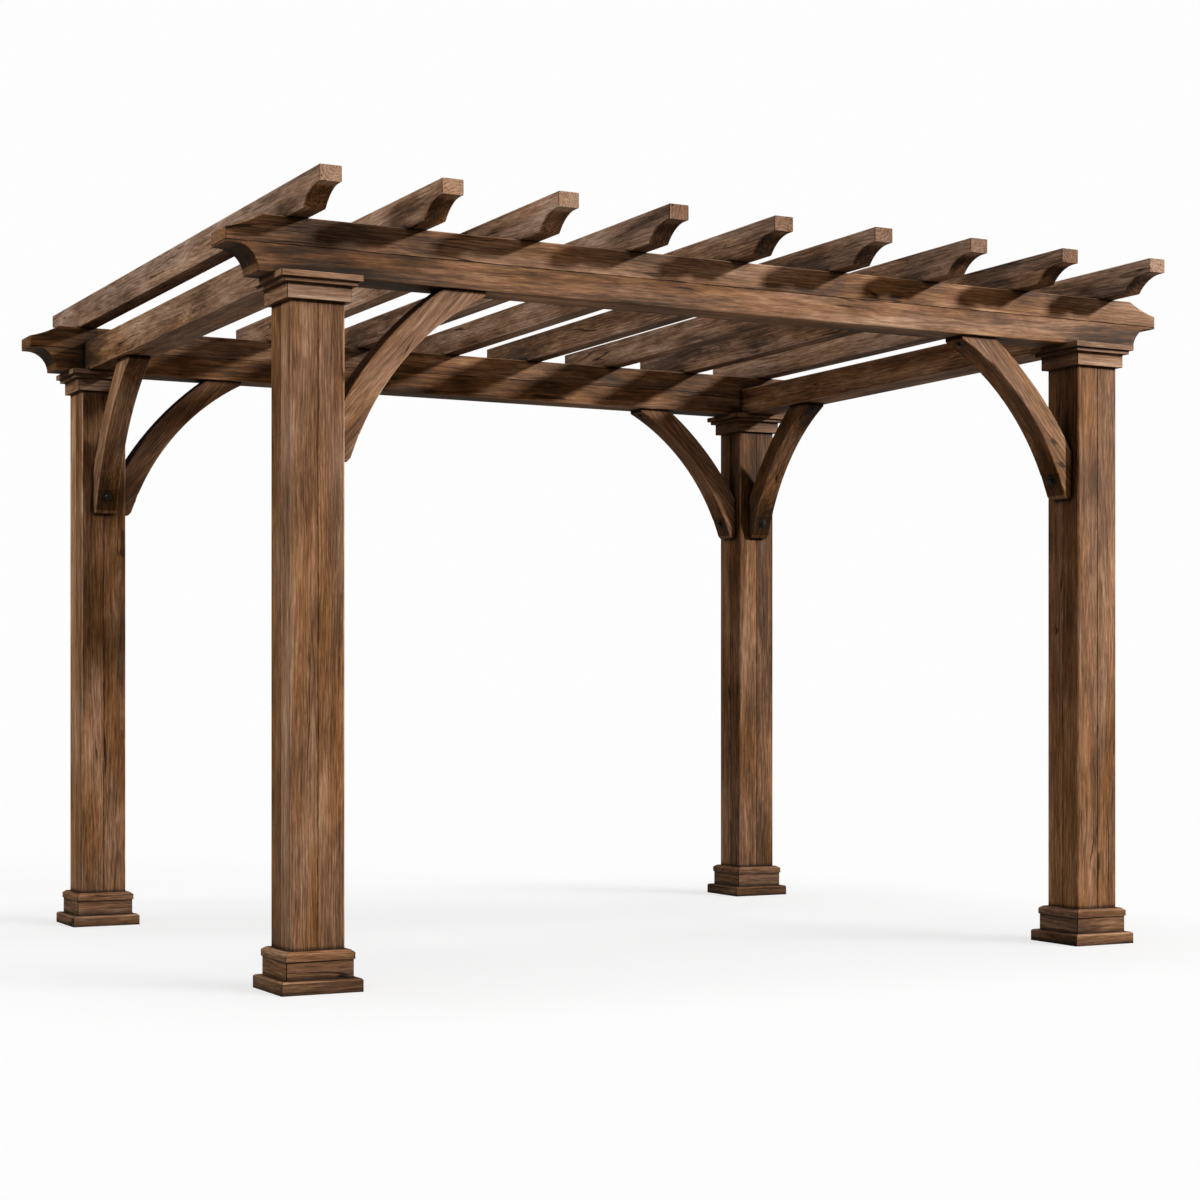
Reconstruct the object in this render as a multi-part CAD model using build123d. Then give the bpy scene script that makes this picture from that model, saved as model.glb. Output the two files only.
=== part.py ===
from build123d import *
from math import acos, degrees
import os

# A free-standing timber pergola: four square posts with moulded bases and capitals, two main
# beams with shaped ends, two lighter side beams, six curved knee braces and nine rafters.
# Sizes are in millimetres. X runs along the front beam, Y from front to back, Z up.
# The origin is on the ground, in the middle of the four posts.

# Layout of the posts, centre to centre
post_spacing_x = 3160
post_spacing_y = 2480

# Posts
post_width = 184
post_height = 2288
post_arris = 5

# Base of each post: a plinth, a block above it and a moulding round the top
plinth_width = 276
plinth_height = 43
plinth_bevel = 5
block_width = 228
block_height = 61
base_moulding_width = 236
base_moulding_height = 31
base_moulding_bevel_rise = 9
base_moulding_bevel_run = 13

# Capital of each post, from the neck up to the crown that touches the beams
neck_width = 219
neck_height = 50
crown_step_width = 253
crown_step_height = 14
crown_width = 278
crown_height = 19
trim_arris = 2

# Main beams, front and back
beam_thickness = 146
beam_height = 180
beam_overhang = 300
beam_cove_radius = 84
beam_cove_lip = 22
beam_end_top = 131
beam_slope_run = 122
beam_slope_sag = 5

# Side beams, which fill the space between the main beams
side_beam_thickness = 146
side_beam_height = 118

# Rafters, which lie across the main beams
rafter_count = 9
rafter_pitch = 410
rafter_width = 76
rafter_height = 108
rafter_overhang = 360
rafter_cove_rise = 58
rafter_cove_radius = 153
rafter_cove_lip = 20

# Knee braces, measured from the corner between the post's face and the beam's underside
brace_run = 515
brace_drop = 588
brace_tip_height = 15
brace_toe_depth = 37
brace_toe_bevel = 12
brace_inner_radius = 966
brace_back_run = 364
brace_back_drop = 410
brace_back_radius = 1340
brace_seat_length = 86
brace_seat_recess = 2
beam_brace_thickness = 106
side_brace_thickness = 88

# Eased edges of the beams, rafters and braces
timber_arris = 3

# Places worked out from the sizes above
post_x = post_spacing_x / 2
post_y = post_spacing_y / 2
crown_bottom = post_height - crown_height
crown_step_bottom = crown_bottom - crown_step_height
neck_bottom = crown_step_bottom - neck_height
block_bottom = plinth_height
moulding_bottom = block_bottom + block_height
beam_top = post_height + beam_height


def ease_both_faces(solid, axis, size):
    """Bevel the outline of a flat timber on its two broad faces, which look along the axis."""
    faces = solid.faces().filter_by(axis).sort_by(axis)
    outline = faces[0].edges() + faces[-1].edges()
    return chamfer(outline, size)


def ring(width, height, bottom):
    """A square frame that closes round a post."""
    outer = Pos(0, 0, bottom + height / 2) * Box(width, width, height)
    return outer - Pos(0, 0, bottom + height / 2) * Box(post_width, post_width, height)


def outer_edges(solid, half_width):
    """The edges of a ring that lie on its outer walls."""
    def on_outside(edge):
        centre = edge.center()
        return max(abs(centre.X), abs(centre.Y)) > half_width - trim_arris / 2
    return ShapeList([edge for edge in solid.edges() if on_outside(edge)])


def make_post():
    post = Pos(0, 0, post_height / 2) * Box(post_width, post_width, post_height)
    return chamfer(post.edges().filter_by(Axis.Z), post_arris)


def make_plinth():
    plinth = ring(plinth_width, plinth_height, 0)
    top = outer_edges(plinth, plinth_width / 2).group_by(Axis.Z)[-1]
    return chamfer(top, plinth_bevel)


def make_base_block():
    block = ring(block_width, block_height, block_bottom)
    upright = outer_edges(block, block_width / 2).filter_by(Axis.Z)
    return chamfer(upright, trim_arris)


def make_base_moulding():
    """A strip with a fillet below and a sloping bevel that sheds water above."""
    moulding = ring(base_moulding_width, base_moulding_height, moulding_bottom)
    top_face = moulding.faces().sort_by(Axis.Z)[-1]
    top = outer_edges(moulding, base_moulding_width / 2).group_by(Axis.Z)[-1]
    return chamfer(top, base_moulding_bevel_run, base_moulding_bevel_rise, reference=top_face)


def make_neck():
    neck = ring(neck_width, neck_height, neck_bottom)
    upright = outer_edges(neck, neck_width / 2).filter_by(Axis.Z)
    return chamfer(upright, trim_arris)


def make_crown():
    """The stepped cap board: a narrow strip below and the wide crown above it."""
    step = ring(crown_step_width, crown_step_height, crown_step_bottom)
    crown = ring(crown_width, crown_height, crown_bottom)
    upright = outer_edges(crown, crown_width / 2).filter_by(Axis.Z)
    return step + chamfer(upright, trim_arris)


def cove(end, lip, rise, radius):
    """The hollow under a timber's end: a short flat lip, then an arc down to the underside."""
    sweep = degrees(acos((radius - rise) / radius))
    flat = Line((end, rise), (end - lip, rise))
    return JernArc(flat @ 1, (-1, 0), radius, sweep)


def make_main_beam(y):
    """A beam along X with coved ends that slope down on top."""
    end = post_x + beam_overhang
    with BuildPart() as beam:
        with BuildSketch(Plane.XZ):
            with BuildLine():
                hollow = cove(end, beam_cove_lip, beam_cove_radius, beam_cove_radius)
                slope_top = (end - beam_slope_run, beam_height)
                Line((end, beam_cove_radius), (end, beam_end_top))
                SagittaArc((end, beam_end_top), slope_top, beam_slope_sag)
                Line(slope_top, (0, beam_height))
                Line(hollow @ 1, (0, 0))
                mirror(about=Plane.YZ)
            make_face()
        extrude(amount=beam_thickness / 2, both=True)
    return Pos(0, y, post_height) * ease_both_faces(beam.part, Axis.Y, timber_arris)


def make_side_beam(x):
    """A plain beam along Y that butts against both main beams."""
    length = post_spacing_y - beam_thickness
    middle = Pos(x, 0, post_height + side_beam_height / 2)
    beam = middle * Box(side_beam_thickness, length, side_beam_height)
    return chamfer(beam.edges().filter_by(Axis.Y), timber_arris)


def make_rafter(x):
    """A rafter along Y with both ends hollowed out below."""
    end = post_y + rafter_overhang
    with BuildPart() as rafter:
        with BuildSketch(Plane.YZ):
            with BuildLine():
                hollow = cove(end, rafter_cove_lip, rafter_cove_rise, rafter_cove_radius)
                Line((end, rafter_cove_rise), (end, rafter_height))
                Line((end, rafter_height), (0, rafter_height))
                Line(hollow @ 1, (0, 0))
                mirror(about=Plane.YZ)
            make_face()
        extrude(amount=rafter_width / 2, both=True)
    return Pos(x, 0, beam_top) * ease_both_faces(rafter.part, Axis.X, timber_arris)


def make_brace(thickness):
    """A knee brace along X from a post's face at the origin to a beam's underside at Z = 0.

    Both long sides are arcs. The lower end has a flat seat for a bolt and a bevelled toe.
    """
    tip = (brace_run, -brace_tip_height)
    toe = (brace_toe_depth, -brace_drop + brace_toe_bevel)
    belly = RadiusArc(toe, tip, brace_inner_radius)
    seat_top = belly @ (brace_seat_length / belly.length)
    recess = Vector(-brace_seat_recess, 0)
    with BuildPart() as brace:
        with BuildSketch(Plane.XZ):
            with BuildLine():
                Line((0, -brace_drop), (0, -brace_back_drop))
                RadiusArc((0, -brace_back_drop), (brace_back_run, 0), brace_back_radius)
                Polyline((brace_back_run, 0), (brace_run, 0), tip)
                RadiusArc(seat_top, tip, brace_inner_radius)
                Polyline(
                    seat_top,
                    seat_top + recess,
                    Vector(*toe) + recess,
                    (brace_toe_depth - brace_seat_recess - brace_toe_bevel, -brace_drop),
                    (0, -brace_drop),
                )
            make_face()
        extrude(amount=thickness / 2, both=True)
    return ease_both_faces(brace.part, Axis.Y, timber_arris)


def on_posts(solid):
    """One copy of a solid at each post, with the post's name."""
    for depth, y in (("front", -post_y), ("back", post_y)):
        for side, x in (("left", -post_x), ("right", post_x)):
            yield f"{depth}_{side}", Pos(x, y, 0) * solid


def braces():
    """A brace from each post along its main beam, and from the back posts along the side beams."""
    beam_brace = make_brace(beam_brace_thickness)
    side_brace = make_brace(side_brace_thickness)
    reach = post_width / 2
    for side, x, turn in (("left", -post_x, 1), ("right", post_x, -1)):
        for depth, y in (("front", -post_y), ("back", post_y)):
            along_x = Pos(x + turn * reach, y, post_height) * Rot(0, 0, 90 - 90 * turn)
            yield f"brace_{depth}_{side}_beam", along_x * beam_brace
        along_y = Pos(x, post_y - reach, post_height) * Rot(0, 0, -90)
        yield f"brace_back_{side}_side", along_y * side_brace


def all_parts():
    around_post = {
        "post": make_post(),
        "base_plinth": make_plinth(),
        "base_block": make_base_block(),
        "base_moulding": make_base_moulding(),
        "capital_neck": make_neck(),
        "capital_crown": make_crown(),
    }
    for name, solid in around_post.items():
        for place, copy in on_posts(solid):
            yield f"{name}_{place}", copy
    yield "beam_front", make_main_beam(-post_y)
    yield "beam_back", make_main_beam(post_y)
    yield "side_beam_left", make_side_beam(-post_x)
    yield "side_beam_right", make_side_beam(post_x)
    yield from braces()
    for index in range(rafter_count):
        x = (index - (rafter_count - 1) / 2) * rafter_pitch
        yield f"rafter_{index + 1}", make_rafter(x)


os.makedirs("parts", exist_ok=True)
for part_name, part_solid in all_parts():
    export_step(part_solid, f"parts/{part_name}.step")
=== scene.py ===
"""Looks of a free-standing timber pergola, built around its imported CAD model.

Lengths are in metres, in the CAD frame: X along the front beam, Y from front to back, Z up.
Posts, bases, capitals and beams are cut into the boards that they are glued up from. Rafters and
knee braces keep their CAD solids. Every timber is coloured by one node group, which works in grain
coordinates: U along the grain, V and W across it, measured from the heart of the tree.
"""
from math import cos, pi, radians, sin

import bmesh
import bpy
from mathutils import Euler, Matrix, Vector


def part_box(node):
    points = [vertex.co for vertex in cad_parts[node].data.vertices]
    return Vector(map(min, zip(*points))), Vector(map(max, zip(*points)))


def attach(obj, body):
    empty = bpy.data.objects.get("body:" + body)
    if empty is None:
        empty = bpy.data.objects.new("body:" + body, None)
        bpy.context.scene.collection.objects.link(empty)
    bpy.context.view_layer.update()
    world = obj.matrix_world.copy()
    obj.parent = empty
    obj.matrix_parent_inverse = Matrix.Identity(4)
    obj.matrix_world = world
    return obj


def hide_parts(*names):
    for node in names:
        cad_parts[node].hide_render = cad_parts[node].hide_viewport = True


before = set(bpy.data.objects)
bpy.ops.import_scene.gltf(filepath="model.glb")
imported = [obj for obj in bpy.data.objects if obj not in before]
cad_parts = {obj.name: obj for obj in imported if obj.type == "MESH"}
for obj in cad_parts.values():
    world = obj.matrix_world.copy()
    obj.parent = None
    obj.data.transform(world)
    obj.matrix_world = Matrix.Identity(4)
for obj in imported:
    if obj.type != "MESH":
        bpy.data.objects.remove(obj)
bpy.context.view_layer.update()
body = "root"

along_x = Vector((1, 0, 0))
along_y = Vector((0, 1, 0))
along_z = Vector((0, 0, 1))
no_axis = Vector()
white = (1.0, 1.0, 1.0)

# Camera: the photograph's standpoint, with its horizon below the middle of the picture
camera_place = (-4.2089, -8.2712, 0.9391)
camera_turn = radians(-27.70)
camera_lens = 69.396
camera_rise = 0.0815

# Brightness and colour of the studio, as the camera sees it and as it lights the pergola
world_glow_seen = 0.985
world_glow_unseen = 0.04
floor_glow_seen = 0.578
floor_glow_unseen = 0.08
floor_colour_seen = (0.55, 0.55, 0.55)
floor_colour_unseen = (0.40, 0.35, 0.29)
floor_reach = 60.0

# Lights point at this height in the middle of the pergola
lit_height = 1.3
sun_distance = 6.0
cool_white = (0.86, 0.93, 1.0)

# Joints between boards
joint_gap = 0.0003
joint_bevel = 0.0014
far_from_joints = 1.0

# Limits under which points count as one, facets as one face and an edge as lying on a joint
same_point = 0.00001
same_face = radians(0.5)
same_plane = 0.00002

# Bolts
bolt_toe_height = 0.068
bolt_tip_distance = 0.024
bolt_tip_scale = 0.65
tips_with_bolts = ("brace_front_right_beam", "brace_back_right_beam", "brace_back_right_side")
washer_radius = 0.019
washer_thickness = 0.003
washer_rim = 0.0006
washer_sides = 32
head_radius = 0.0125
head_height = 0.009
head_sides = 6

# Rings that round off a bolt's head: share of its radius, and depth below its top
head_rings = ((1.0, 0.003), (0.88, 0.001), (0.55, 0.0))

# Blackened steel, from its darkest patches to its palest
steel = ((0.3, (0.012, 0.010, 0.009)), (0.7, (0.050, 0.042, 0.036)))
steel_grime_scale = 300.0
steel_bump_depth = 0.0004

# Shades of single boards, added to the tone of their kind. They are partly the timber's own tone and
# partly painted light
# and shade: the back beam, the back right post and its side brace are darker as painted shade. A
# post's boards are right back, right front, left back and left front, and a main beam's are upper and
# lower. A brace or rafter is one.
board_shades = {
    "post_front_left": (0.0, 0.0, -0.07, 0.02),
    "post_front_right": (0.0, -0.01, 0.05, -0.02),
    "post_back_left": (-0.05, -0.06, 0.09, -0.02),
    "post_back_right": (-0.03, -0.15, 0.08, -0.09),
    "beam_front": (-0.02, -0.08),
    "beam_back": (-0.16, -0.16),
    "brace_front_left_beam": (0.05,),
    "brace_back_right_side": (-0.16,),
    "brace_back_left_side": (0.02,),
    "brace_back_left_beam": (-0.05,),
    "rafter_1": (0.07,),
    "rafter_2": (0.12,),
    "rafter_3": (0.04,),
    "rafter_4": (-0.03,),
    "rafter_5": (-0.02,),
    "rafter_6": (-0.09,),
    "rafter_7": (-0.04,),
    "rafter_8": (-0.11,),
    "rafter_9": (0.04,),
}

# Shades of the boards at the right, back, front and left of each base. The darker boards of the back
# right and front right bases are painted shade.
base_shades = {
    "front_left": (0.0, 0.0, 0.04, 0.0),
    "front_right": (0.0, 0.0, 0.0, -0.13),
    "back_left": (0.0, 0.0, -0.02, -0.02),
    "back_right": (0.0, 0.0, -0.12, -0.12),
}

# Other boards are up to this much paler or darker, in a wave from one board to the next
other_shade = 0.03
other_shade_step = 2.3

# Painted light: how much paler a timber grows with each metre to the right, as if the lamp fell more
# strongly there
painted_light_falloff = {"beam_front": 0.03}

# Hearts of the trees that the boards are cut from: how far off they lie, how much that changes, and
# the steps in which distance and direction change from board to board. Boards are taken far apart
# along the tree, so that each has grain of its own.
heart_distance = 0.07
heart_distance_change = 0.03
heart_distance_step = 5.1
heart_turn_step = 2.4
board_spacing = 7.0
most_boards = 4

# Walnut-stained softwood, from the darkest check to the palest worn and painted-highlit edge
stain = (
    (0.00, (0.008, 0.004, 0.002)),
    (0.18, (0.028, 0.013, 0.005)),
    (0.36, (0.084, 0.039, 0.017)),
    (0.50, (0.170, 0.082, 0.039)),
    (0.64, (0.275, 0.149, 0.082)),
    (0.80, (0.410, 0.262, 0.168)),
    (1.00, (0.600, 0.450, 0.330)),
)
timber_roughness = 0.62
timber_specular = 0.12
timber_bump_strength = 0.5
timber_bump_depth = 0.0012

# Noises of the grain, from broad to fine: how often each changes in a metre along the grain and
# across it, its detail and its roughness
noise_shapes = {
    "bands": (1.4, 17.0, 2.0, 0.5),
    "clouds": (4.5, 30.0, 3.0, 0.6),
    "streaks": (3.5, 75.0, 2.0, 0.5),
    "figure": (12.0, 200.0, 2.0, 0.6),
    "fibres": (25.0, 520.0, 2.0, 0.65),
}

# How far each noise swings the tone. The broad ones are weaker on cut ends.
broad_tones = {"bands": 0.38, "clouds": 0.30}
fine_tones = {"streaks": 0.24, "figure": 0.52, "fibres": 0.34}

# What each mark adds to the tone where it is strongest
mark_tones = {
    # painted shade: darker where other surfaces close in, in corners, under rafters and between parts
    "recess_shade": -0.24,
    # painted shade: dark lines in narrow creases, such as under mouldings
    "crease_shade": -0.24,
    "end": 0.07,
    # darker coves: partly stain soaking into the cut grain, partly painted shade on their
    # downward-facing surfaces
    "slant": -0.25,
    # paler eased edges: partly worn stain, partly a painted highlight
    "arris": 0.16,
    "knot": -0.26,
    "pin_hole": -0.30,
    "check": -0.30,
    "joint": -0.30,
    "bleed": -0.14,
}
ring_tone_on_sides = -0.08
ring_tone_on_ends = -0.11

# How high each noise and mark stands, as a share of the depth of the bumps
noise_heights = {"streaks": 0.6, "figure": 0.7, "fibres": 0.8}
mark_heights = {"ring": 0.15, "check": -1.6, "pin_hole": -1.6, "knot": -0.4}

# Sizes of the marks
ring_spacing = 0.011
ring_lean = 0.010
ring_drift = 0.06
ring_bend = 0.02
knot_radius = 0.010
knot_core = 0.003
knot_swell_radius = 0.050
knot_push = 0.012
pin_hole_radius = 0.0042
pin_hole_core = 0.0020
joint_line_width = 0.0016
joint_line_core = 0.0008
bleed_width = 0.006
bleed_core = 0.001


class Graph:
    """Short ways to add linked shader nodes to a node tree."""

    def __init__(self, tree):
        self.tree = tree

    def node(self, kind, inputs=None, **settings):
        made = self.tree.nodes.new(kind)
        for name, value in settings.items():
            setattr(made, name, value)
        for name, value in (inputs or {}).items():
            self.feed(made.inputs[name], value)
        return made

    def feed(self, socket, value):
        if isinstance(value, bpy.types.NodeSocket):
            self.tree.links.new(value, socket)
        else:
            socket.default_value = value

    def math(self, operation, *values):
        made = self.node("ShaderNodeMath", operation=operation)
        for socket, value in zip(made.inputs, values):
            self.feed(socket, value)
        return made.outputs[0]

    def vector(self, operation, *values):
        made = self.node("ShaderNodeVectorMath", operation=operation)
        for socket, value in zip(made.inputs, values):
            self.feed(socket, value)
        return made.outputs["Value" if operation in ("DOT_PRODUCT", "LENGTH") else "Vector"]

    def chain(self, operation, values):
        """One operation on the first two values, then on the result and the next, and so on."""
        result = values[0]
        for value in values[1:]:
            result = self.math(operation, result, value)
        return result

    def total(self, *values):
        return self.chain("ADD", values)

    def product(self, *values):
        return self.chain("MULTIPLY", values)

    def noise(self, place, along, across, detail=2.0, roughness=0.5, output="Fac"):
        """Noise with one scale along the grain and another across it."""
        scaled = self.vector("MULTIPLY", place, (along, across, across))
        inputs = {"Vector": scaled, "Scale": 1.0, "Detail": detail, "Roughness": roughness}
        return self.node("ShaderNodeTexNoise", inputs).outputs[output]

    def fade(self, value, start, end, low=0.0, high=1.0):
        """A smooth change from low to high as the value goes from start to end."""
        inputs = {"Value": value, "From Min": start, "From Max": end, "To Min": low, "To Max": high}
        made = self.node("ShaderNodeMapRange", inputs, interpolation_type="SMOOTHSTEP")
        return made.outputs["Result"]

    def around(self, noise, *amounts):
        """How far a noise is from its middle, times some amounts."""
        return self.product(self.math("SUBTRACT", noise, 0.5), *amounts)

    def spread(self, noise, low, high):
        """Noise stretched so that it often reaches low and high."""
        return self.fade(noise, start=0.35, end=0.65, low=low, high=high)

    def ramp(self, value, stops):
        made = self.node("ShaderNodeValToRGB", {"Fac": value})
        points = made.color_ramp.elements
        while len(points) < len(stops):
            points.new(1.0)
        for point, (position, colour) in zip(points, stops):
            point.position = position
            point.color = (*colour, 1.0)
        return made.outputs["Color"]


def add_sockets(tree, direction, kind, *names):
    for name in names:
        tree.interface.new_socket(name, in_out=direction, socket_type=kind)


def link(thing):
    """Put an object into the scene."""
    bpy.context.scene.collection.objects.link(thing)
    return thing


def middle(node):
    low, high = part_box(node)
    return (low + high) / 2


def nodes_named(start):
    return sorted(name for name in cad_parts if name.startswith(start))


def spots(g, grain, along, across, rarity, stretch):
    """Distance from the nearest of some scattered points, and whether that point was chosen."""
    spacing = (along, across, across)
    soft_edge = 0.01
    cells = g.vector("DIVIDE", grain, spacing)
    found = g.node("ShaderNodeTexVoronoi", {"Vector": cells, "Scale": 1.0}, feature="F1")
    away = g.vector("MULTIPLY", g.vector("SUBTRACT", cells, found.outputs["Position"]), spacing)
    away = g.vector("MULTIPLY", away, (stretch, 1.0, 1.0))
    pick = g.node("ShaderNodeSeparateColor", {"Color": found.outputs["Color"]}).outputs["Red"]
    return g.vector("LENGTH", away), g.fade(pick, rarity, rarity + soft_edge)


def knots(g, grain):
    """Closeness to a knot, from 0 to 1, and the swell of the grain round it."""
    reach, chosen = spots(g, grain, along=0.55, across=0.13, rarity=0.86, stretch=0.5)
    heart = g.product(g.fade(reach, knot_radius, knot_core), chosen)
    swell = g.product(g.fade(reach, knot_swell_radius, 0.0), chosen)
    return heart, swell


def pin_holes(g, grain):
    """Small dark pin knots and old nail holes."""
    reach, chosen = spots(g, grain, along=0.16, across=0.07, rarity=0.84, stretch=0.6)
    return g.product(g.fade(reach, pin_hole_radius, pin_hole_core), chosen)


def checks(g, place):
    """Thin drying cracks that run along the grain and come and go."""
    field = g.noise(place, along=0.9, across=17.0, detail=1.5)
    across = g.math("ABSOLUTE", g.math("SUBTRACT", field, 0.5))
    line = g.fade(across, start=0.014, end=0.003)
    where = g.fade(g.noise(place, along=3.2, across=7.0, detail=1.0), start=0.56, end=0.64)
    return g.product(line, where)


def growth_rings(g, place, swell):
    """Dark latewood lines at uneven distances from the heart, pushed aside by knots."""
    along = g.node("ShaderNodeSeparateXYZ", {"Vector": place}).outputs["X"]
    radius = g.vector("LENGTH", g.vector("MULTIPLY", place, (0.0, 1.0, 1.0)))
    drift = g.around(g.noise(place, along=0.8, across=10.0), ring_drift)
    reach = g.total(radius, drift, g.product(along, ring_lean), g.product(swell, ring_bend))
    phase = g.math("FRACT", g.math("DIVIDE", reach, ring_spacing))
    rise = g.fade(phase, start=0.20, end=0.85)
    fall = g.fade(phase, start=0.88, end=1.0, low=1.0, high=0.0)
    return g.product(rise, fall)


def joint_marks(g, seam, grain):
    """The uneven dark line of a joint, and the stain that has bled out of it here and there."""
    drips = g.noise(grain, along=13.0, across=3.0, detail=2.5)
    line = g.fade(seam, joint_line_width, joint_line_core)
    line = g.product(line, g.fade(drips, start=0.45, end=0.56, low=0.45, high=1.0))
    bleed = g.fade(seam, bleed_width, bleed_core)
    bleed = g.product(bleed, g.fade(drips, start=0.55, end=0.60))
    return line, bleed


def occlusion_shade(g, distance, samples, closed):
    """How far other surfaces close in on a point, from 0 in open air to 1, which paints shade into the
    timber's colour.
    """
    air = g.node("ShaderNodeAmbientOcclusion", {"Distance": distance}, samples=samples).outputs["AO"]
    return g.fade(air, start=0.95, end=closed)


def slant_across(g, end):
    """Where a surface cuts the grain at a slant, as in a cove, and is neither a side nor an end."""
    off_side = g.fade(end, start=0.12, end=0.35)
    off_end = g.fade(end, start=0.985, end=0.94)
    return g.product(off_side, off_end)


def sideways(g, grain, along, across, reach):
    """A noise that pushes the grain sideways."""
    noise = g.noise(grain, along, across, output="Color")
    return g.vector("MULTIPLY", g.vector("SUBTRACT", noise, (0.5, 0.5, 0.5)), (0.0, reach, reach))


def bent_grain(g, grain, swell):
    """Grain coordinates that wander, ripple and bend round knots."""
    wander = sideways(g, grain, along=1.3, across=4.0, reach=0.04)
    ripple = sideways(g, grain, along=9.0, across=30.0, reach=0.008)
    push = g.node("ShaderNodeCombineXYZ", {"X": 0.0, "Y": g.product(swell, knot_push), "Z": 0.0})
    return g.vector("ADD", g.vector("ADD", grain, g.vector("ADD", wander, ripple)), push.outputs[0])


def timber_tone(g, given, noises, marks):
    """How pale the timber is, as a position on the ramp of its stain."""
    end = given["End"]
    smoke = g.noise(given["Grain"], along=2.2, across=7.0, detail=3.0, roughness=0.55)
    quiet = g.fade(end, start=0.90, end=0.97, low=1.0, high=0.30)
    ring_tone = g.fade(end, start=0.3, end=0.8, low=ring_tone_on_sides, high=ring_tone_on_ends)
    return g.total(
        given["Tone"],
        *(g.around(noises[name], amount, quiet) for name, amount in broad_tones.items()),
        *(g.around(noises[name], amount) for name, amount in fine_tones.items()),
        *(g.product(marks[name], amount) for name, amount in mark_tones.items()),
        g.around(smoke, given["Mottle"], quiet),
        g.product(marks["ring"], ring_tone),
    )


def timber_colour(g, given, place, tone, slant):
    """Stain of a tone, with a hue and a richness that vary over the board."""
    hue = g.spread(g.noise(place, along=7.0, across=80.0), low=0.496, high=0.504)
    richness = g.spread(g.noise(given["Grain"], along=1.5, across=9.0), low=0.93, high=1.07)
    richer_on_slants = g.product(slant, 0.12)
    richer_on_ends = g.product(given["End"], 0.06)
    saturation = g.product(g.total(richness, richer_on_slants, richer_on_ends), given["Richness"])
    inputs = {"Color": g.ramp(tone, stain), "Hue": hue, "Saturation": saturation}
    return g.node("ShaderNodeHueSaturation", inputs).outputs["Color"]


def timber_gloss(g, given, noises):
    """Roughness that varies with the figure and is lower on worn edges."""
    uneven_in_figure = g.around(noises["figure"], 0.30)
    smoother_on_edges = g.product(given["Arris"], -0.08)
    return g.total(timber_roughness, uneven_in_figure, smoother_on_edges)


def make_timber_group():
    """Colour, roughness and height of stained timber at a point in grain coordinates.

    Seam is the distance from the nearest joint. End is how squarely the surface faces along the
    timber, from 0 to 1, and Arris how far it is an eased edge.
    """
    tree = bpy.data.node_groups.new("timber", "ShaderNodeTree")
    add_sockets(tree, "INPUT", "NodeSocketVector", "Grain")
    add_sockets(tree, "INPUT", "NodeSocketFloat", "Seam", "End", "Arris", "Tone", "Mottle", "Richness")
    add_sockets(tree, "OUTPUT", "NodeSocketColor", "Color")
    add_sockets(tree, "OUTPUT", "NodeSocketFloat", "Roughness", "Height")
    g = Graph(tree)
    given = g.node("NodeGroupInput").outputs
    grain = given["Grain"]
    knot, swell = knots(g, grain)
    place = bent_grain(g, grain, swell)
    line, bleed = joint_marks(g, given["Seam"], grain)
    noises = {name: g.noise(place, *shape) for name, shape in noise_shapes.items()}
    marks = {
        # Painted shade in recesses and in narrow creases, from how far other surfaces close in
        "recess_shade": occlusion_shade(g, distance=0.22, samples=3, closed=0.30),
        "crease_shade": occlusion_shade(g, distance=0.016, samples=4, closed=0.60),
        "end": given["End"],
        "slant": slant_across(g, given["End"]),
        "arris": given["Arris"],
        "ring": growth_rings(g, place, swell),
        "knot": knot,
        "pin_hole": pin_holes(g, grain),
        "check": checks(g, place),
        "joint": line,
        "bleed": bleed,
    }
    tone = timber_tone(g, given, noises, marks)
    height = g.total(
        *(g.around(noises[name], amount) for name, amount in noise_heights.items()),
        *(g.product(marks[name], amount) for name, amount in mark_heights.items()),
    )
    outputs = {
        "Color": timber_colour(g, given, place, tone, marks["slant"]),
        "Roughness": timber_gloss(g, given, noises),
        "Height": height,
    }
    g.node("NodeGroupOutput", outputs)
    return tree


timber_group = make_timber_group()


def arris_of_slab(thickness_axis):
    """Where a surface is an eased edge of a timber that is flat across one axis."""
    def nodes(g, facing):
        lean = g.math("ABSOLUTE", g.vector("DOT_PRODUCT", facing, tuple(thickness_axis)))
        off_edge = g.fade(lean, start=0.3, end=0.6)
        off_side = g.fade(lean, start=0.97, end=0.85)
        return g.product(off_edge, off_side)
    return nodes


def arris_of_box(g, facing):
    """Where a surface is a bevel, so that it faces along none of the axes."""
    parts = g.node("ShaderNodeSeparateXYZ", {"Vector": g.vector("ABSOLUTE", facing)}).outputs
    longest = g.math("MAXIMUM", g.math("MAXIMUM", parts["X"], parts["Y"]), parts["Z"])
    return g.fade(longest, start=0.95, end=0.75, low=0.0, high=0.3)


def seam_distance(g, planes):
    """Distance from the nearest joint, which lies in one of the planes."""
    place = g.node("ShaderNodeTexCoord").outputs["Object"]
    nearest = far_from_joints
    for point, normal in planes:
        offset = g.vector("DOT_PRODUCT", g.vector("SUBTRACT", place, tuple(point)), tuple(normal))
        nearest = g.math("MINIMUM", g.math("ABSOLUTE", offset), nearest)
    return nearest


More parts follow.
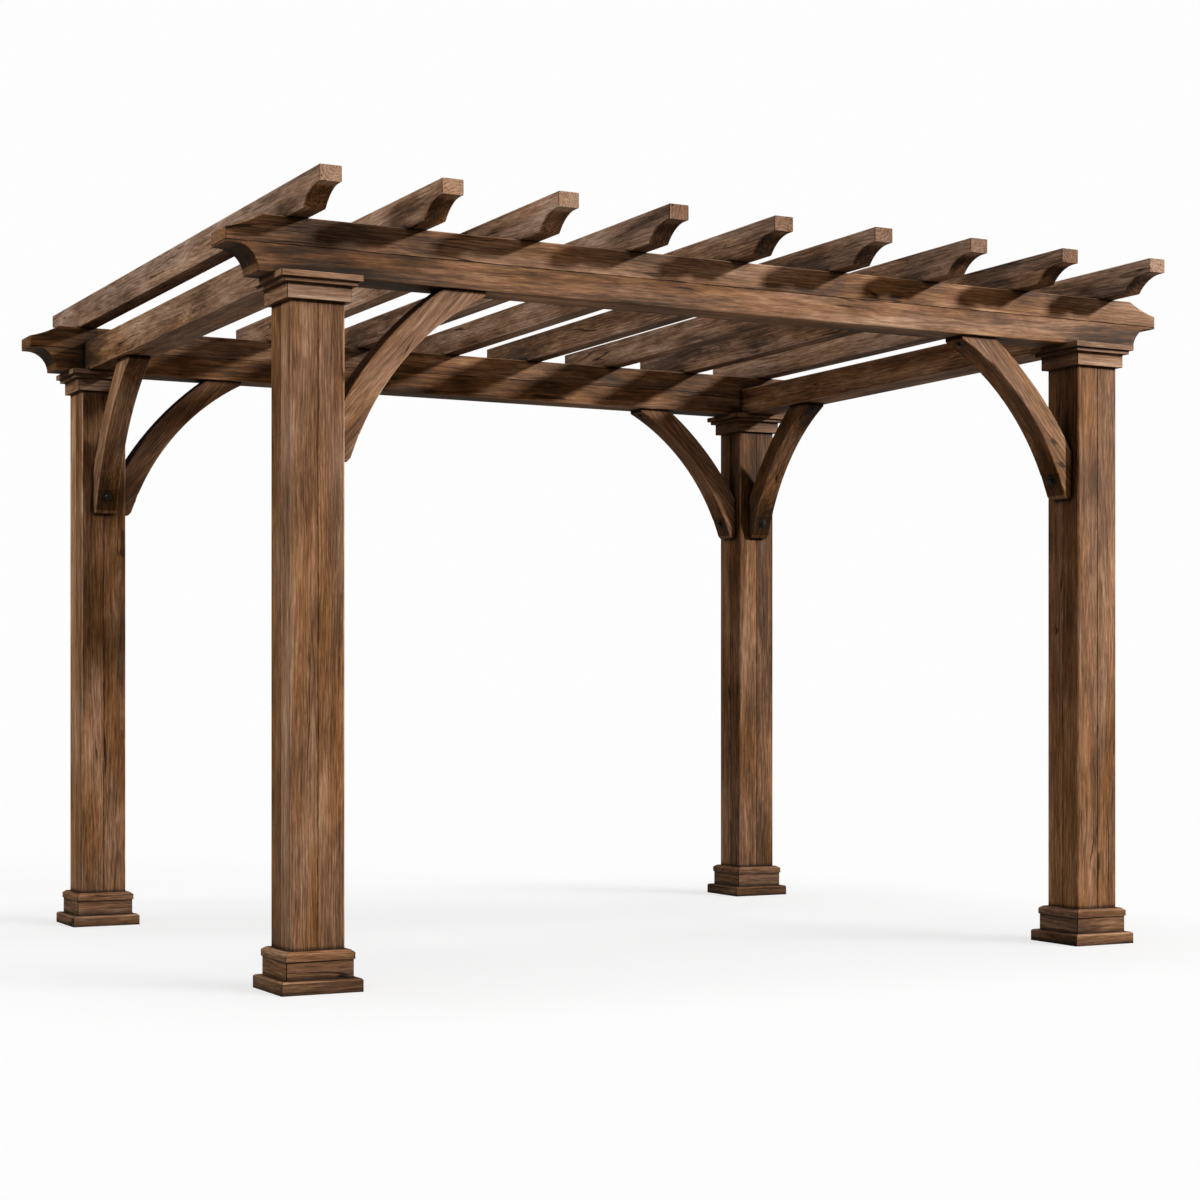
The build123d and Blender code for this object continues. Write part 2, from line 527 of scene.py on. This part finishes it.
def timber_material(name, grain_of, arris_of, end_axis, planes, tone, mottle, richness):
    """A material for one piece. grain_of adds the nodes that give its grain and its shade."""
    material = bpy.data.materials.new(name)
    material.use_nodes = True
    tree = material.node_tree
    shader = tree.nodes["Principled BSDF"]
    g = Graph(tree)
    grain, shade = grain_of(g)
    facing = g.node("ShaderNodeTexCoord").outputs["Normal"]
    inputs = {
        "Grain": grain,
        "Seam": seam_distance(g, planes),
        "End": g.math("ABSOLUTE", g.vector("DOT_PRODUCT", facing, tuple(end_axis))),
        "Arris": arris_of(g, facing),
        "Tone": g.total(shade, tone),
        "Mottle": mottle,
        "Richness": richness,
    }
    timber = g.node("ShaderNodeGroup", node_tree=timber_group)
    for socket, value in inputs.items():
        g.feed(timber.inputs[socket], value)
    relief = {
        "Strength": timber_bump_strength,
        "Distance": timber_bump_depth,
        "Height": timber.outputs["Height"],
    }
    g.feed(shader.inputs["Base Color"], timber.outputs["Color"])
    g.feed(shader.inputs["Roughness"], timber.outputs["Roughness"])
    g.feed(shader.inputs["Normal"], g.node("ShaderNodeBump", relief).outputs["Normal"])
    shader.inputs["Specular IOR Level"].default_value = timber_specular
    return material


def grain_frame(along):
    """Rows that turn a direction in the object into grain coordinates."""
    nearly_upright = 0.9
    along = along.normalized()
    helper = along_z if abs(along.z) < nearly_upright else along_y
    across = helper.cross(along).normalized()
    return Matrix((along, across, along.cross(across)))


def heart_of(number):
    """Where a board's heart lies across the grain: off to one side, in a new direction each time."""
    turn = heart_turn_step * number
    distance = heart_distance + heart_distance_change * sin(heart_distance_step * number)
    return Vector((board_spacing * number, distance * cos(turn), distance * sin(turn)))


def shade_of(node, number, index):
    """How much paler one board is than the rest of its kind: partly its own tone, partly painted light
    and shade.
    """
    if node in board_shades:
        return board_shades[node][index]
    if node.startswith("base_"):
        corner = "_".join(node.split("_")[-2:])
        return base_shades[corner][index]
    return other_shade * sin(other_shade_step * (number + index))


def grain_from_mesh(g):
    """Grain coordinates and shade of boards, which are kept in their mesh."""
    grain = g.node("ShaderNodeAttribute", attribute_name="grain").outputs["Vector"]
    shade = g.node("ShaderNodeAttribute", attribute_name="shade").outputs["Fac"]
    return grain, shade


def grain_from_place(along, centre, number, shade):
    """Grain coordinates of a whole CAD solid, worked out from its object coordinates."""
    turn = grain_frame(along)
    shift = heart_of(number) - turn @ centre

    def nodes(g):
        place = g.node("ShaderNodeTexCoord").outputs["Object"]
        inputs = {"Vector": place, "Location": shift, "Rotation": turn.to_euler()}
        return g.node("ShaderNodeMapping", inputs, vector_type="POINT").outputs["Vector"], shade

    return nodes


def solid_copy(node):
    """A CAD node's mesh with its facets joined into whole faces."""
    mesh = bmesh.new()
    mesh.from_mesh(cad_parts[node].data)
    bmesh.ops.remove_doubles(mesh, verts=mesh.verts, dist=same_point)
    bmesh.ops.dissolve_limit(mesh, angle_limit=same_face, verts=mesh.verts, edges=mesh.edges)
    return mesh


def keep_side(mesh, point, normal):
    """Cut away what lies behind a plane, with half of the joint's gap, and close the cut."""
    geometry = mesh.verts[:] + mesh.edges[:] + mesh.faces[:]
    start = point + normal * joint_gap / 2
    bmesh.ops.bisect_plane(mesh, geom=geometry, plane_co=start, plane_no=normal, clear_inner=True)
    rim = [edge for edge in mesh.edges if edge.is_boundary]
    bmesh.ops.holes_fill(mesh, edges=rim)


def on_joint(vertex, point, normal):
    return abs((vertex.co - point).dot(normal) - joint_gap / 2) < same_plane


def bevel_joints(mesh, planes):
    """Bevel the edges round a board's cut faces, so that a fine groove shows at each joint."""
    edges = [
        edge for edge in mesh.edges
        if any(all(on_joint(vertex, *plane) for vertex in edge.verts) for plane in planes)
    ]
    bmesh.ops.bevel(mesh, geom=edges, offset=joint_bevel, segments=1, affect="EDGES", profile=0.5)


def boards_of(node, planes):
    """Each board that the planes cut a node into, with the planes as that board sees them."""
    sides = [()]
    for point, normal in planes:
        sides = [chosen + ((point, normal * side),) for chosen in sides for side in (1, -1)]
    for chosen in sides:
        board = solid_copy(node)
        for plane in chosen:
            keep_side(board, *plane)
        bevel_joints(board, chosen)
        yield board, chosen


def add_board(joined, board, turn, shift, shade, painted_falloff):
    """Copy a board into a mesh, with grain coordinates and a shade at each point."""
    grain_layer = joined.verts.layers.float_vector["grain"]
    shade_layer = joined.verts.layers.float["shade"]
    copies = {}
    for vertex in board.verts:
        copy = joined.verts.new(vertex.co)
        copy[grain_layer] = turn @ vertex.co + shift
        copy[shade_layer] = shade + painted_falloff * vertex.co.x
        copies[vertex] = copy
    for face in board.faces:
        joined.faces.new([copies[vertex] for vertex in face.verts])


def make_boards(node, number, planes_of, grain_along, arris_of, end_axis, slot, look):
    """Replace a CAD node by the boards that it is glued up from, joined as one piece."""
    planes = planes_of(node)
    joined = bmesh.new()
    joined.verts.layers.float_vector.new("grain")
    joined.verts.layers.float.new("shade")
    for index, (board, chosen) in enumerate(boards_of(node, planes)):
        centre = sum((vertex.co for vertex in board.verts), Vector()) / len(board.verts)
        turn = grain_frame(grain_along(chosen))
        shift = heart_of(number + index) - turn @ centre
        shade = shade_of(node, number, index)
        add_board(joined, board, turn, shift, shade, painted_light_falloff.get(node, 0.0))
        board.free()
    mesh = bpy.data.meshes.new(node + "_boards")
    bmesh.ops.recalc_face_normals(joined, faces=joined.faces)
    joined.to_mesh(mesh)
    joined.free()
    mesh.materials.append(
        timber_material("timber_" + node, grain_from_mesh, arris_of, end_axis, planes, **look)
    )
    piece = link(bpy.data.objects.new(node + "_boards", mesh))
    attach(piece, body)
    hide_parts(node)


def dress_solid(node, number, along, thickness_axis, look):
    """Give a CAD solid that stays as it is a timber material of its own."""
    grain_of = grain_from_place(along, middle(node), number, shade_of(node, number, 0))
    arris_of = arris_of_slab(thickness_axis)
    material = timber_material("timber_" + node, grain_of, arris_of, along.normalized(), (), **look)
    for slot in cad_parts[node].material_slots:
        slot.material = material


def planes_across(*axes):
    """Joints through the middle of a node, one across each axis."""
    return lambda node: tuple((middle(node), axis.normalized()) for axis in axes)


def straight(axis):
    """All of a timber's boards run along one axis."""
    return lambda chosen: axis


def round_ring(chosen):
    """A mitred board runs along the side of the ring that it lies on."""
    facing = sum((normal for _, normal in chosen), Vector())
    return along_x if abs(facing.y) > abs(facing.x) else along_y


mitres = planes_across(along_x + along_y, along_x - along_y)

# Timbers that are glued up from boards, by the start of their nodes' names
glued_timbers = {
    "post_": dict(
        planes_of=planes_across(along_x, along_y),
        grain_along=straight(along_z),
        arris_of=arris_of_slab(along_x),
        end_axis=along_z,
        slot="post_wood",
        look=dict(tone=0.54, mottle=0.45, richness=1.07),
    ),
    "base_": dict(
        planes_of=mitres,
        grain_along=round_ring,
        arris_of=arris_of_box,
        end_axis=no_axis,
        slot="trim_wood",
        look=dict(tone=0.57, mottle=0.30, richness=1.00),
    ),
    "capital_": dict(
        planes_of=mitres,
        grain_along=round_ring,
        arris_of=arris_of_box,
        end_axis=no_axis,
        slot="trim_wood",
        look=dict(tone=0.60, mottle=0.30, richness=0.96),
    ),
    "beam_": dict(
        planes_of=planes_across(along_z),
        grain_along=straight(along_x),
        arris_of=arris_of_slab(along_y),
        end_axis=along_x,
        slot="beam_wood",
        look=dict(tone=0.54, mottle=0.85, richness=1.05),
    ),
    "side_beam_": dict(
        planes_of=planes_across(along_x),
        grain_along=straight(along_y),
        arris_of=arris_of_slab(along_x),
        end_axis=along_y,
        slot="beam_wood",
        look=dict(tone=0.52, mottle=0.70, richness=1.00),
    ),
}
rafter_look = dict(tone=0.52, mottle=0.75, richness=0.91)
brace_look = dict(tone=0.54, mottle=0.40, richness=1.03)


def dress_rafter(node, number):
    dress_solid(node, number, along_y, along_x, rafter_look)


def brace_reach(node):
    """The direction, along X or Y, in which a brace leaves its post."""
    axis = along_x if node.endswith("beam") else along_y
    centre = middle(node)
    return -axis if centre.dot(axis) > 0 else axis


def brace_width(node):
    """How far a brace reaches from its post."""
    low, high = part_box(node)
    return abs((high - low).dot(brace_reach(node)))


def dress_brace(node, number):
    """A brace's grain runs from its toe at the post to its tip under the beam."""
    low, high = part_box(node)
    reach = brace_reach(node)
    chord = reach * brace_width(node) + along_z * (high.z - low.z)
    dress_solid(node, number, chord, reach.cross(along_z), brace_look)


def make_bolt_mesh():
    """A washer with a hexagonal head on it, pointing along Z from the timber's surface."""
    mesh = bmesh.new()
    top = washer_thickness + head_height

    def layer(radius, height, sides):
        turns = [2 * pi / sides * i for i in range(sides)]
        return [mesh.verts.new((radius * cos(turn), radius * sin(turn), height)) for turn in turns]

    def wall(lower, upper):
        for i in range(len(lower)):
            j = (i + 1) % len(lower)
            mesh.faces.new((lower[i], lower[j], upper[j], upper[i]))

    def stack(outline, sides):
        layers = [layer(radius, height, sides) for radius, height in outline]
        for lower, upper in zip(layers, layers[1:]):
            wall(lower, upper)
        mesh.faces.new(layers[0][::-1])
        mesh.faces.new(layers[-1])

    washer_outline = (
        (washer_radius, -washer_thickness / 2),
        (washer_radius, washer_thickness - washer_rim),
        (washer_radius - washer_rim, washer_thickness),
    )
    head_foot = (head_radius, washer_thickness / 2)
    head_outline = [head_foot] + [(head_radius * share, top - depth) for share, depth in head_rings]
    stack(washer_outline, washer_sides)
    stack(head_outline, head_sides)
    data = bpy.data.meshes.new("bolt")
    mesh.to_mesh(data)
    mesh.free()
    data.materials.append(bolt_material())
    return data


def bolt_material():
    """Blackened steel with paler, duller patches."""
    material = bpy.data.materials.new("black_steel")
    material.use_nodes = True
    shader = material.node_tree.nodes["Principled BSDF"]
    g = Graph(material.node_tree)
    place = g.node("ShaderNodeTexCoord").outputs["Object"]
    grime = g.noise(place, steel_grime_scale, steel_grime_scale, detail=3.0)
    roughness = g.fade(grime, start=0.3, end=0.7, low=0.35, high=0.6)
    relief = {"Strength": 0.4, "Distance": steel_bump_depth, "Height": grime}
    g.feed(shader.inputs["Base Color"], g.ramp(grime, steel))
    g.feed(shader.inputs["Roughness"], roughness)
    g.feed(shader.inputs["Normal"], g.node("ShaderNodeBump", relief).outputs["Normal"])
    shader.inputs["Metallic"].default_value = 0.8
    return material


def seat_on(node, start, direction):
    """Where a ray meets a CAD node, and the surface's direction there."""
    found, place, normal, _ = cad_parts[node].ray_cast(start, direction)
    if not found:
        raise ValueError(f"no timber for a bolt at {start} in {node}")
    return place, normal


def add_bolt(name, place, normal, mesh, scale=1.0):
    bolt = link(bpy.data.objects.new(name, mesh))
    bolt.scale = (scale, scale, scale)
    bolt.rotation_euler = normal.to_track_quat("Z", "Y").to_euler()
    bolt.location = place
    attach(bolt, body)


def bolt_brace(node, mesh):
    """A bolt through the flat seat at a brace's foot, and a smaller one at the tip of some."""
    low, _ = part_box(node)
    reach = brace_reach(node)
    width = brace_width(node)
    beyond = middle(node) + reach * width
    beyond.z = low.z + bolt_toe_height
    add_bolt(f"bolt_toe_{node}", *seat_on(node, beyond, -reach), mesh)
    if node in tips_with_bolts:
        below = middle(node) + reach * (width / 2 - bolt_tip_distance)
        below.z = low.z
        add_bolt(f"bolt_tip_{node}", *seat_on(node, below, along_z), mesh, bolt_tip_scale)


def make_floor():
    """A plain white studio floor, which isn't part of the pergola.

    The camera sees it glow, so that it stays white under soft shadows, and it sends little
    light back up to the undersides of the beams.
    """
    mesh = bpy.data.meshes.new("floor")
    corners = [(x * floor_reach, y * floor_reach, 0) for x, y in ((-1, -1), (1, -1), (1, 1), (-1, 1))]
    mesh.from_pydata(corners, [], [(0, 1, 2, 3)])
    material = bpy.data.materials.new("floor")
    material.use_nodes = True
    shader = material.node_tree.nodes["Principled BSDF"]
    shader.inputs["Roughness"].default_value = 1.0
    shader.inputs["Specular IOR Level"].default_value = 0.0
    shader.inputs["Emission Color"].default_value = (*white, 1.0)
    g = Graph(material.node_tree)
    seen = g.node("ShaderNodeLightPath").outputs["Is Camera Ray"]
    glow = g.fade(seen, 0.0, 1.0, floor_glow_unseen, floor_glow_seen)
    colour = g.ramp(seen, ((0.0, floor_colour_unseen), (1.0, floor_colour_seen)))
    g.feed(shader.inputs["Emission Strength"], glow)
    g.feed(shader.inputs["Base Color"], colour)
    mesh.materials.append(material)
    floor = link(bpy.data.objects.new("floor", mesh))
    return floor


def aim(light, azimuth, elevation, distance):
    """Point a light at the middle of the pergola. Azimuth 0 is the front and 90 the right side."""
    target = Vector((0, 0, lit_height))
    across, up = radians(azimuth), radians(elevation)
    way = Vector((sin(across) * cos(up), -cos(across) * cos(up), sin(up)))
    light.location = target + way * distance
    light.rotation_euler = way.to_track_quat("Z", "Y").to_euler()
    light.visible_camera = False
    return link(light)


def add_lamp(name, azimuth, elevation, distance, size, watts, colour=white):
    data = bpy.data.lights.new(name, "AREA")
    data.shape = "DISK"
    data.size = size
    data.energy = watts
    data.color = colour
    return aim(bpy.data.objects.new(name, data), azimuth, elevation, distance)


def add_sun(name, azimuth, elevation, angle, strength):
    """A sun, which fills an angle of the sky given in degrees."""
    data = bpy.data.lights.new(name, "SUN")
    data.angle = radians(angle)
    data.energy = strength
    return aim(bpy.data.objects.new(name, data), azimuth, elevation, sun_distance)


def light_only(light, floor, state):
    """Keep a light off the floor, or to the floor alone."""
    receivers = bpy.data.collections.new(light.name + "_receivers")
    receivers.objects.link(floor)
    receivers.collection_objects[0].light_linking.link_state = state
    light.light_linking.receiver_collection = receivers


def light_pergola(floor):
    """The pergola's own lamps stay off the floor, so that the shadows there are pale and soft."""
    lamps = (
        add_lamp("key_right", azimuth=42, elevation=22, distance=18.0, size=1.4, watts=4500),
        add_lamp("front", azimuth=-15, elevation=36, distance=7.5, size=0.8, watts=40),
        add_lamp("fill_left", azimuth=-88, elevation=28, distance=12.0, size=2.4, watts=1000,
                 colour=cool_white),
    )
    for lamp in lamps:
        light_only(lamp, floor, "EXCLUDE")
    floor_sun = add_sun("floor_right", azimuth=42, elevation=26, angle=35, strength=1.1)
    light_only(floor_sun, floor, "INCLUDE")
    add_sun("overhead", azimuth=0, elevation=88, angle=45, strength=1.7)


def make_world():
    """White surroundings, bright to the camera and dim to what they light."""
    world = bpy.data.worlds.new("studio")
    world.use_nodes = True
    bpy.context.scene.world = world
    g = Graph(world.node_tree)
    background = world.node_tree.nodes["Background"]
    seen = g.node("ShaderNodeLightPath").outputs["Is Camera Ray"]
    g.feed(background.inputs["Strength"], g.fade(seen, 0.0, 1.0, world_glow_unseen, world_glow_seen))
    background.inputs["Color"].default_value = (*white, 1.0)


def place_camera():
    data = bpy.data.cameras.new("camera")
    data.lens = camera_lens
    data.shift_y = camera_rise
    camera = link(bpy.data.objects.new("camera", data))
    camera.location = camera_place
    camera.rotation_euler = Euler((pi / 2, 0, camera_turn))
    bpy.context.scene.camera = camera


# Each board has a number of its own, which sets where in the tree it is cut from
number = 0
for start, timber in glued_timbers.items():
    for node in nodes_named(start):
        make_boards(node, number, **timber)
        number += most_boards
for node in nodes_named("rafter_"):
    dress_rafter(node, number)
    number += 1
bolt_mesh = make_bolt_mesh()
for node in nodes_named("brace_"):
    dress_brace(node, number)
    bolt_brace(node, bolt_mesh)
    number += 1
light_pergola(make_floor())
make_world()
place_camera()
bpy.context.scene.view_settings.view_transform = "Standard"
